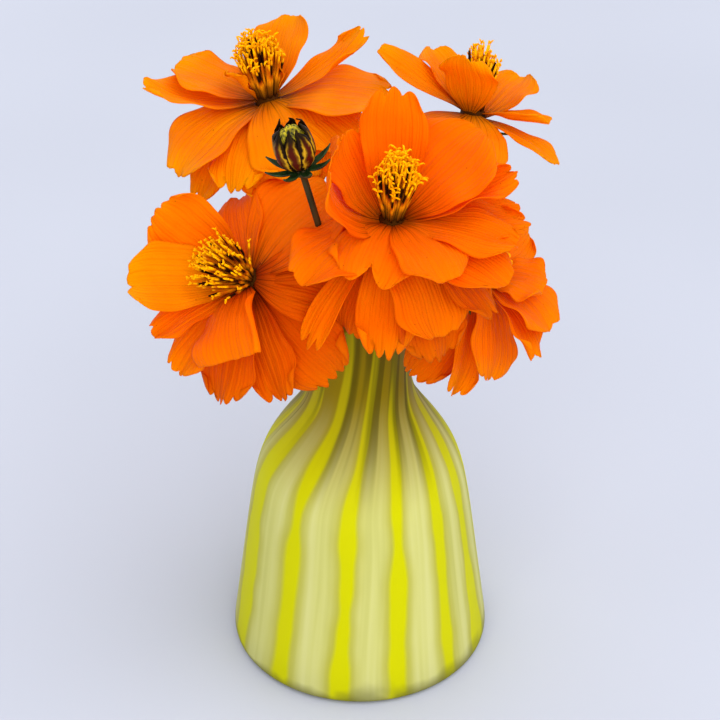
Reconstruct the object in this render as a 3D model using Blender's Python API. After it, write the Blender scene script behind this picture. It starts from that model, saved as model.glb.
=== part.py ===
"""Five sulphur cosmos blooms and a bud standing in a striped satin glass bottle.

The bottle's base centre is the origin, +Z is up and -Y is the front.  All
driving dimensions are in millimetres; the mesh is written in metres.
"""
import math

import bmesh
import bpy
from mathutils import Vector
from mathutils.geometry import interpolate_bezier

MM = 0.001

# --- Bottle: outside profile as (height, radius), base to rim -------------
BOTTLE_OUTSIDE = (
    (0.0, 33.4), (0.6, 34.8), (2.4, 35.6), (10.0, 34.7), (20.0, 33.4), (40.0, 30.8),
    (50.0, 29.3), (57.0, 27.8), (63.0, 25.6), (69.0, 22.2), (75.0, 18.2),
    (80.0, 15.3), (85.0, 13.9), (92.0, 13.1), (100.0, 12.9), (106.0, 13.3),
    (109.2, 14.2), (110.0, 13.9),
)
# Inside profile, rim to floor: the wall is about 2.4 mm, the floor 4 mm.
BOTTLE_INSIDE = (
    (109.8, 12.3), (106.0, 11.1), (100.0, 10.6), (92.0, 10.8), (85.0, 11.6),
    (80.0, 13.0), (75.0, 15.8), (69.0, 19.8), (63.0, 23.1), (57.0, 25.3),
    (50.0, 26.8), (40.0, 28.3), (20.0, 30.9), (8.0, 32.0), (4.8, 31.0), (4.0, 28.5),
)
BOTTLE_SEGMENTS = 30

# --- Stems -----------------------------------------------------------------
STEM_R = 1.25            # stem radius
STEM_SIDES = 8
STRAIGHT_STEPS, CURVE_STEPS = 5, 12
NECK_R, NECK_Z = 7.2, 100.0    # the stems lean on the neck along this ring
FOOT_R, FOOT_Z = 20.0, 4.3     # and stand on this ring, just clear of the floor
STEM_LIFT = 20.0         # a stem keeps its lean at least this far past the neck
FOOT_TWIST = 110.0       # degrees each stem leans round between neck and foot
CUP_R, CUP_DEPTH = 3.1, 5.2    # the green cup the petals sit on
CUP_FLARE = ((0.12, 0.85), (0.4, 1.0), (1.0, 1.0))    # (share of depth, share of radius)

# --- Petals ----------------------------------------------------------------
PETAL_T = 0.5            # thickness
SEAT_GAP = 0.35          # clearance between a petal's claw and the cup
PETAL_TRIM = 0.8         # share of the full width, so that neighbours stay clear
PETAL_STEPS, PETAL_COLS = 7, 4
SPINE_FINE = 4           # the centre line is summed in steps this much finer
# Half-width along a petal, as (share of length, share of half-width).
PETAL_OUTLINE = ((0.0, 0.10), (0.14, 0.24), (0.3, 0.52), (0.5, 0.84), (0.68, 1.0),
                 (0.84, 0.97), (0.95, 0.82), (1.0, 0.66))
TIP_DROP = 0.08          # how far the tip's corners fall back, as a share of length

# --- Disc of florets ---------------------------------------------------------
DISC_PROFILE = ((0.3, 2.6), (5.0, 3.2), (9.5, 4.5), (12.5, 6.2), (15.0, 6.3),
                (17.4, 4.2), (18.4, 1.4))
DISC_SIDES = 12

# Each flower: centre, axis, neck angle of its stem, the size of its disc where
# that is not 1, and its petals as (name,
# seat below the cup's lip, azimuth, rise at the claw, rise at the tip, length,
# width, curl of the margins, roll, sway).  Angles are degrees; azimuth 0 is the
# flower's right, 90 its far side.
FLOWERS = {
    "a": {
        "centre": (-24.1, 27.0, 155.3), "axis": (-0.16, 0.10, 0.98), "neck": 120.0,
        "petals": (
            ("back", 0.4, 66, 54, 24, 23, 16, 20, 0, 0),
            ("back_right", 0.4, 14, 8, 42, 29, 13, 50, 0, 0),
            ("right", 2.0, 350, 15, -26, 29, 24, 10, 0, 0),
            ("front_right", 0.4, 287, 4, -64, 29, 22, -10, 0, 0),
            ("front", 2.0, 249, 0, -52, 29, 17, -10, 0, 0),
            ("front_left", 2.0, 206, 10, -42, 29, 23, 10, 0, 0),
            ("left_low", 3.4, 222, -12, -52, 30, 13, 10, 0, 0),
            ("left", 0.4, 180, 5, 36, 31, 14, 20, 0, 0),
            ("back_left", 0.4, 152, 28, 20, 24, 20, 10, 0, 0),
        ),
    },
    "b": {
        "centre": (-28.3, -20.0, 130.2), "axis": (-0.58, -0.46, 0.67), "neck": 205.0,
        "petals": (
            ("left", 0.4, 181, 50, 25, 28, 19, 20, 0, 0),
            ("up_left", 0.4, 134, 42, 28, 27, 20, 15, 0, 0),
            ("up", 2.0, 106, 12, -34, 26, 18, 10, 0, 0),
            ("up_right", 3.2, 84, 2, -38, 26, 16, 10, 0, 0),
            ("right_back", 2.0, 54, 8, -36, 18, 14, 10, 0, 0),
            ("right", 0.4, 350, -10, -80, 24, 21, 10, 0, 0),
            ("low_right", 3.4, 302, -14, -60, 31, 20, 0, 0, 0),
            ("low_mid", 2.6, 274, -14, -36, 29, 14, 10, 0, 0),
            ("low", 2.0, 248, -2, -18, 29, 19, 10, 0, 0),
            ("low_left", 0.6, 227, 10, 0, 27, 15, 10, 0, 0),
            ("left_low", -0.4, 209, 29, 12, 25, 12, 10, 0, 0),
            ("front", -0.4, 262, 50, -26, 23, 20, -10, 0, 0),
        ),
    },
    "c": {
        "centre": (8.0, -15.0, 144.8), "axis": (0.10, -0.08, 0.99), "neck": 290.0,
        "petals": (
            ("back", 0.4, 100, 62, 44, 30, 19, 20, 0, 0),
            ("back_left", 2.0, 168, 22, 72, 23, 22, 20, -10, -25),
            ("back_right", 0.0, 33, 46, 34, 29, 26, 10, 0, 0),
            ("right_up", 0.9, 13, 23, 23, 31, 13, 40, 0, 0),
            ("right", 2.2, 1, 10, -2, 32, 17, 10, 0, 0),
            ("right_front", 0.4, 342, 17, -8, 30, 17, 0, 0, 0),
            ("right_low", 2.4, 330, 3, -14, 29, 19, 0, 0, 0),
            ("front_right", 0.4, 301, 24, -26, 25, 19, -10, 0, 0),
            ("front", 2.0, 267, 15, -36, 24, 17, 0, 0, 0),
            ("left", 0.4, 224, 12, -18, 27, 20, 10, 0, 0),
            ("under_left", 3.8, 230, -12, -60, 33, 10, 40, 0, 0),
            ("under_front", 3.8, 272, -26, -70, 32, 17, 0, 0, 0),
            ("under_right", 3.8, 306, -16, -62, 29, 23, 0, 0, 0),
        ),
    },
    "d": {
        "centre": (29.2, 22.0, 154.0), "axis": (0.14, 0.35, 0.925), "neck": 50.0,
        "disc": 0.85,
        "petals": (
            ("left", 0.4, 178, 32, 14, 27, 15, 20, 0, 0),
            ("back", 0.4, 130, 48, 24, 21, 16, 20, 0, 0),
            ("front", 0.4, 228, 62, 10, 20, 22, 20, 0, 0),
            ("right_back", 2.0, 45, 36, 8, 21, 19, 10, 0, 0),
            ("right", 0.4, 335, 10, 0, 21, 10, 50, 0, 0),
            ("right_low", 2.0, 328, -4, -28, 24, 14, 10, 0, 0),
        ),
    },
    "e": {
        "centre": (31.4, 0.0, 119.1), "axis": (0.72, -0.22, 0.66), "neck": 345.0,
        "disc": 0.6,
        "petals": (
            ("right_top", 0.4, 30, 60, -10, 21, 17, 10, 0, 0),
            ("right", -0.4, 322, 56, 18, 23, 19, 10, 0, 0),
            ("right_low", 0.8, 305, 24, -4, 25, 12, 20, 0, 0),
            ("low_right", 2.0, 296, 4, -40, 26, 18, 0, 0, 0),
            ("low", 3.2, 286, -16, -50, 30, 12, 10, 0, 0),
            ("low_left", 4.2, 266, -18, -62, 29, 17, 0, 0, 0),
        ),
    },
}

# --- Bud ---------------------------------------------------------------------
BUD_BASE = (-14.4, -18.0, 161.4)
BUD_AXIS = (-0.24, -0.06, 0.97)
BUD_PROFILE = ((0.3, 1.8), (1.6, 4.0), (4.2, 5.4), (7.5, 5.3), (10.5, 4.1), (12.6, 2.2))
BUD_NECK = 258.0
BUD_SIDES = 12
BUD_CUP_R, BUD_CUP_DEPTH = 1.9, 2.0
BRACT_COUNT = 8
BRACT_INNER, BRACT_VALLEY, BRACT_TIP = 2.3, 3.0, 9.0    # radii of the bract star
BRACT_RISE, BRACT_T = 3.2, 0.5


def frame_of(axis):
    """Axis, right and depth unit vectors of a flower."""
    up = Vector(axis).normalized()
    right = (Vector((1, 0, 0)) - up * up.x).normalized()
    return up, right, up.cross(right)


def mix(table, x):
    """Straight-line value of a (x, y) table."""
    for (x0, y0), (x1, y1) in zip(table, table[1:]):
        if x <= x1:
            return y0 + (y1 - y0) * (x - x0) / (x1 - x0)
    return table[-1][1]


def material(name, colour, rough, transmission=0.0):
    mat = bpy.data.materials.new(name)
    mat.use_nodes = True
    shader = mat.node_tree.nodes["Principled BSDF"]
    shader.inputs["Base Color"].default_value = (*colour, 1.0)
    shader.inputs["Roughness"].default_value = rough
    shader.inputs["Transmission Weight"].default_value = transmission
    return mat


def add_object(name, bm, mat):
    """Turn a finished bmesh into a named object with outward normals."""
    bmesh.ops.recalc_face_normals(bm, faces=bm.faces)
    for face in bm.faces:
        face.smooth = True
    mesh = bpy.data.meshes.new(name)
    bm.to_mesh(mesh)
    bm.free()
    mesh.materials.append(mat)
    obj = bpy.data.objects.new(name, mesh)
    bpy.context.scene.collection.objects.link(obj)
    return obj


def loft(bm, rings):
    """Close a solid through rings of equal size, capped at both ends."""
    for low, high in zip(rings, rings[1:]):
        for i in range(len(low)):
            j = (i + 1) % len(low)
            bm.faces.new((low[i], low[j], high[j], high[i]))
    bm.faces.new(reversed(rings[0]))
    bm.faces.new(rings[-1])


def turned(bm, centre, axis, profile, sides):
    """A solid of revolution about a flower axis, from (height, radius) pairs."""
    up, right, depth = frame_of(axis)
    rings = []
    for height, radius in profile:
        ring = []
        for i in range(sides):
            a = math.tau * i / sides
            out = right * math.cos(a) + depth * math.sin(a)
            ring.append(bm.verts.new((Vector(centre) + up * height + out * radius) * MM))
        rings.append(ring)
    loft(bm, rings)


def build_bottle(mat):
    bm = bmesh.new()
    profile = BOTTLE_OUTSIDE + BOTTLE_INSIDE
    points = [Vector((0, 0, 0))] + [Vector((r, 0, z)) for z, r in profile]
    points.append(Vector((0, 0, BOTTLE_INSIDE[-1][0])))
    verts = [bm.verts.new(p * MM) for p in points]
    edges = [bm.edges.new(pair) for pair in zip(verts, verts[1:])]
    bmesh.ops.spin(bm, geom=verts + edges, axis=(0, 0, 1), cent=(0, 0, 0),
                   steps=BOTTLE_SEGMENTS, angle=math.tau, use_merge=True)
    bmesh.ops.remove_doubles(bm, verts=bm.verts, dist=1e-7)
    return add_object("bottle", bm, mat)


def stem_path(neck_angle, head, axis):
    """Foot to head: straight up to the neck, then a curve out to the flower."""
    at_neck = math.radians(neck_angle)
    at_foot = math.radians(neck_angle + FOOT_TWIST)
    foot = Vector((FOOT_R * math.cos(at_foot), FOOT_R * math.sin(at_foot), FOOT_Z))
    neck = Vector((NECK_R * math.cos(at_neck), NECK_R * math.sin(at_neck), NECK_Z))
    reach = (head - neck).length
    path = [foot.lerp(neck, i / STRAIGHT_STEPS) for i in range(STRAIGHT_STEPS)]
    after_neck = neck + (neck - foot).normalized() * max(reach * 0.4, STEM_LIFT)
    before_head = head - axis * reach * 0.35
    return path + interpolate_bezier(neck, after_neck, before_head, head, CURVE_STEPS)


def build_stem(name, neck_angle, centre, axis, mat, cup_r=CUP_R, cup_depth=CUP_DEPTH):
    """A stem swept up to the flower, flaring into the cup under the petals."""
    axis = Vector(axis).normalized()
    centre = Vector(centre)
    path = stem_path(neck_angle, centre - axis * cup_depth, axis)
    radii = [STEM_R] * len(path)
    for share, radius in CUP_FLARE:
        path.append(centre - axis * cup_depth * (1 - share))
        radii.append(cup_r * radius)
    bm = bmesh.new()
    rings = []
    side = Vector((1, 0, 0))
    for i, point in enumerate(path):
        tangent = Vector((0, 0, 1))
        if i > 0:
            tangent = (path[min(i + 1, len(path) - 1)] - path[i - 1]).normalized()
        side = (side - tangent * side.dot(tangent)).normalized()
        other = tangent.cross(side)
        ring = []
        for k in range(STEM_SIDES):
            a = math.tau * k / STEM_SIDES
            offset = side * math.cos(a) + other * math.sin(a)
            ring.append(bm.verts.new((point + offset * radii[i]) * MM))
        rings.append(ring)
    loft(bm, rings)
    return add_object(name, bm, mat)


def spine(flower, petal, steps):
    """Centre line of a petal: (point, along, across, normal) at each step."""
    _, seat, azimuth, rise0, rise1, length, _, _, roll, sway = petal
    up, right, depth = frame_of(flower["axis"])
    azimuth = math.radians(azimuth)
    out = right * math.cos(azimuth) + depth * math.sin(azimuth)
    side = up.cross(out)
    point = Vector(flower["centre"]) + out * (CUP_R + SEAT_GAP) - up * seat
    line = []
    for i in range(steps + 1):
        t = i / steps
        pitch = math.radians(rise0 + (rise1 - rise0) * t)
        heading = math.radians(sway * t)
        turn = math.radians(roll * min(1.0, 2 * t))
        along = (out * math.cos(heading) + side * math.sin(heading)) * math.cos(pitch)
        along += up * math.sin(pitch)
        across = side * math.cos(heading) - out * math.sin(heading)
        normal = along.cross(across)
        line.append((point.copy(), along, across * math.cos(turn) + normal * math.sin(turn),
                     normal * math.cos(turn) - across * math.sin(turn)))
        point += along * length / steps
    return line


def petal_row(petal, station, t):
    """Points across a petal, on an arc whose margins turn up by the curl."""
    length, width, curl = petal[5:8]
    point, along, across, normal = station
    half = width / 2 * PETAL_TRIM * mix(PETAL_OUTLINE, t)
    bend = math.radians(curl) + 1e-6
    row = []
    for j in range(PETAL_COLS + 1):
        s = -1 + 2 * j / PETAL_COLS
        drop = length * TIP_DROP * s * s * t ** 3
        row.append(point + across * half * math.sin(bend * s) / bend
                   + normal * half * (1 - math.cos(bend * s)) / bend - along * drop)
    return row


def build_petal(name, flower, spec, mat):
    stations = spine(flower, spec, PETAL_STEPS * SPINE_FINE)[::SPINE_FINE]
    rows = [petal_row(spec, station, i / PETAL_STEPS) for i, station in enumerate(stations)]
    bm = bmesh.new()
    front, back = [], []
    for i, row in enumerate(rows):
        ahead, behind = rows[min(i + 1, PETAL_STEPS)], rows[max(i - 1, 0)]
        front.append([])
        back.append([])
        for j, point in enumerate(row):
            tangent = ahead[j] - behind[j]
            cross = row[min(j + 1, PETAL_COLS)] - row[max(j - 1, 0)]
            normal = tangent.cross(cross).normalized() * (PETAL_T / 2)
            front[-1].append(bm.verts.new((point + normal) * MM))
            back[-1].append(bm.verts.new((point - normal) * MM))
    for i in range(PETAL_STEPS):
        for j in range(PETAL_COLS):
            bm.faces.new((front[i][j], front[i][j + 1], front[i + 1][j + 1], front[i + 1][j]))
            bm.faces.new((back[i][j], back[i + 1][j], back[i + 1][j + 1], back[i][j + 1]))
    edge = [(0, j) for j in range(PETAL_COLS)]
    edge += [(i, PETAL_COLS) for i in range(PETAL_STEPS)]
    edge += [(PETAL_STEPS, j) for j in range(PETAL_COLS, 0, -1)]
    edge += [(i, 0) for i in range(PETAL_STEPS, 0, -1)]
    for (i0, j0), (i1, j1) in zip(edge, edge[1:] + edge[:1]):
        bm.faces.new((front[i0][j0], front[i1][j1], back[i1][j1], back[i0][j0]))
    return add_object(name, bm, mat)


def build_bud(flesh, green):
    """The closed bud and, under it, one star of splayed narrow bracts."""
    bm = bmesh.new()
    turned(bm, BUD_BASE, BUD_AXIS, BUD_PROFILE, BUD_SIDES)
    add_object("bud_head", bm, flesh)
    up, right, depth = frame_of(BUD_AXIS)
    base = Vector(BUD_BASE) - up * (BRACT_T + SEAT_GAP)
    bm = bmesh.new()
    rings = []
    for level in (0.0, BRACT_T):
        inner, outer = [], []
        for i in range(2 * BRACT_COUNT):
            a = math.pi * i / BRACT_COUNT
            ray = right * math.cos(a) + depth * math.sin(a)
            tip = i % 2 == 0
            reach, rise = (BRACT_TIP, BRACT_RISE) if tip else (BRACT_VALLEY, 0.0)
            inner.append(bm.verts.new((base + up * level + ray * BRACT_INNER) * MM))
            outer.append(bm.verts.new((base + up * (level + rise) + ray * reach) * MM))
        rings.append((inner, outer))
    (low_in, low_out), (top_in, top_out) = rings
    for i in range(2 * BRACT_COUNT):
        j = (i + 1) % (2 * BRACT_COUNT)
        bm.faces.new((top_in[i], top_out[i], top_out[j], top_in[j]))
        bm.faces.new((low_in[j], low_out[j], low_out[i], low_in[i]))
        bm.faces.new((low_out[i], low_out[j], top_out[j], top_out[i]))
        bm.faces.new((low_in[i], top_in[i], top_in[j], low_in[j]))
    add_object("bud_bracts", bm, green)


def main():
    for obj in list(bpy.data.objects):
        bpy.data.objects.remove(obj, do_unlink=True)
    glass = material("striped satin glass", (0.62, 0.66, 0.20), 0.45, 0.4)
    orange = material("cosmos petal", (1.0, 0.22, 0.0), 0.6)
    green = material("cosmos stem", (0.10, 0.18, 0.03), 0.6)
    gold = material("cosmos disc florets", (0.85, 0.42, 0.02), 0.7)
    flesh = material("cosmos bud", (0.35, 0.30, 0.04), 0.6)
    build_bottle(glass)
    for key, flower in FLOWERS.items():
        build_stem("stem_" + key, flower["neck"], flower["centre"], flower["axis"], green)
        bm = bmesh.new()
        size = flower.get("disc", 1.0)
        florets = [(height * size, radius * size) for height, radius in DISC_PROFILE[1:]]
        turned(bm, flower["centre"], flower["axis"], [DISC_PROFILE[0]] + florets, DISC_SIDES)
        add_object("disc_" + key, bm, gold)
        for spec in flower["petals"]:
            build_petal("petal_" + key + "_" + spec[0], flower, spec, orange)
    build_stem("stem_bud", BUD_NECK, BUD_BASE, BUD_AXIS, green, BUD_CUP_R, BUD_CUP_DEPTH)
    build_bud(flesh, green)


main()
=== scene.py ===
"""Five sulphur cosmos blooms and a bud in a striped satin glass bottle.

Lengths in the tables are millimetres, angles are degrees.  The bottle's base
centre is the origin, +Z is up and -Y is the front.
"""

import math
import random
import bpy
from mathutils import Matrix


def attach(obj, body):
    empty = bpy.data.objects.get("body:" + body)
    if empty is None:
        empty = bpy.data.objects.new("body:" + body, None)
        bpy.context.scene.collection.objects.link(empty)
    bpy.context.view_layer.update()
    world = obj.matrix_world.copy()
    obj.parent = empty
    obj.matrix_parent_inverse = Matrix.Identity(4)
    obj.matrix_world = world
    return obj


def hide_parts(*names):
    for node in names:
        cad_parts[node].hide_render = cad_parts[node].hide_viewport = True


bl_info = {
    "name": "Cosmos in a Striped Bottle",
    "version": (1, 0, 0),
    "blender": (4, 5, 0),
    "location": "3D View > Sidebar > Cosmos",
    "description": "Dresses the bottle of cosmos flowers with petals, florets and glass",
    "category": "Add Mesh",
}

from functools import partial

import bmesh
import bpy
from mathutils import Matrix, Vector, noise
from mathutils.geometry import interpolate_bezier

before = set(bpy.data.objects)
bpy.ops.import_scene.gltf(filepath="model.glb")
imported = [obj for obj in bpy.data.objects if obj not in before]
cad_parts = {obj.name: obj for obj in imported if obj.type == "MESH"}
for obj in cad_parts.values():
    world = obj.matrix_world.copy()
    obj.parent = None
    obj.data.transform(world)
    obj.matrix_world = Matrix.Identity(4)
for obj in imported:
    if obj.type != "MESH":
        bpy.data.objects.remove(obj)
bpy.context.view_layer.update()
MM = 0.001


def linear(hex_colour):
    """An sRGB hex colour as linear red, green and blue."""
    out = []
    for i in (1, 3, 5):
        c = int(hex_colour[i:i + 2], 16) / 255
        out.append(c / 12.92 if c <= 0.04045 else ((c + 0.055) / 1.055) ** 2.4)
    return tuple(out)


# --- Bottle ---
# (height, radius), base to rim outside, then rim to floor inside
BOTTLE_OUTSIDE = (
    (0.0, 33.4), (0.6, 34.8), (2.4, 35.6), (10.0, 34.7), (20.0, 33.4), (40.0, 30.8),
    (50.0, 29.3), (57.0, 27.8), (63.0, 25.6), (69.0, 22.2), (75.0, 18.2),
    (80.0, 15.3), (85.0, 13.9), (92.0, 13.1), (100.0, 12.9), (106.0, 13.3),
    (109.2, 14.2), (110.0, 13.9),
)
BOTTLE_INSIDE = (
    (109.8, 12.3), (106.0, 11.1), (100.0, 10.6), (92.0, 10.8), (85.0, 11.6),
    (80.0, 13.0), (75.0, 15.8), (69.0, 19.8), (63.0, 23.1), (57.0, 25.3),
    (50.0, 26.8), (40.0, 28.3), (20.0, 30.9), (8.0, 32.0), (4.8, 31.0), (4.0, 28.5),
)
BOTTLE_RINGS = 72, 60    # rings on the outside and on the inside
# The coloured canes in the glass: (angle round the foot, half-width as a share of
# the 16 mm spacing); the front is at -90
CANES = ((-162, 0.22), (-128, 0.12), (-98, 0.15), (-71, 0.14), (-44, 0.12), (-21, 0.20),
         (5, 0.15), (32, 0.12), (60, 0.16), (88, 0.13), (116, 0.15), (142, 0.12), (170, 0.16))

# --- Stems ---
STEM_R, BUD_STEM_R = 1.25, 0.85
STRAIGHT_STEPS, CURVE_STEPS = 8, 30
NECK_R, NECK_Z = 7.2, 100.0
FOOT_R, FOOT_Z = 20.0, 4.3
STEM_LIFT = 20.0
FOOT_TWIST = 110.0
CUP_R, CUP_DEPTH = 3.1, 5.2
CUP_FLARE = ((0.06, 0.6), (0.14, 0.86), (0.3, 0.97), (0.55, 1.0), (1.0, 1.0))
CLAW_R = 2.7             # where a petal's claw leaves the collar

# --- Petals ---
# Half-width along a petal, as (share of length, share of half-width)
OUTLINES = {
    "blade": ((0.0, 0.20), (0.08, 0.36), (0.2, 0.60), (0.35, 0.82), (0.52, 0.95),
              (0.7, 1.0), (0.84, 0.96), (0.94, 0.82), (1.0, 0.62)),
    "square": ((0.0, 0.16), (0.12, 0.34), (0.3, 0.60), (0.5, 0.80), (0.75, 0.95),
               (0.9, 1.0), (1.0, 0.98)),
    "broad": ((0.0, 0.22), (0.1, 0.44), (0.25, 0.72), (0.45, 0.92), (0.7, 1.0),
              (0.88, 0.96), (1.0, 0.80)),
    "strap": ((0.0, 0.30), (0.2, 0.50), (0.5, 0.78), (0.8, 0.96), (1.0, 1.0)),
}
TIP_ROUND = 0.10         # how far the tip's corners fall back, as a share of length

TIP = (4, 0.05)          # teeth at the tip and their depth, as a share of length
PLEAT, RUFFLE, SAG = 0.34, 1.1, 1.1     # depth of a blade's pleats, waves and hollows
FOLDS = 4.0              # pleats across a blade

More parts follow.
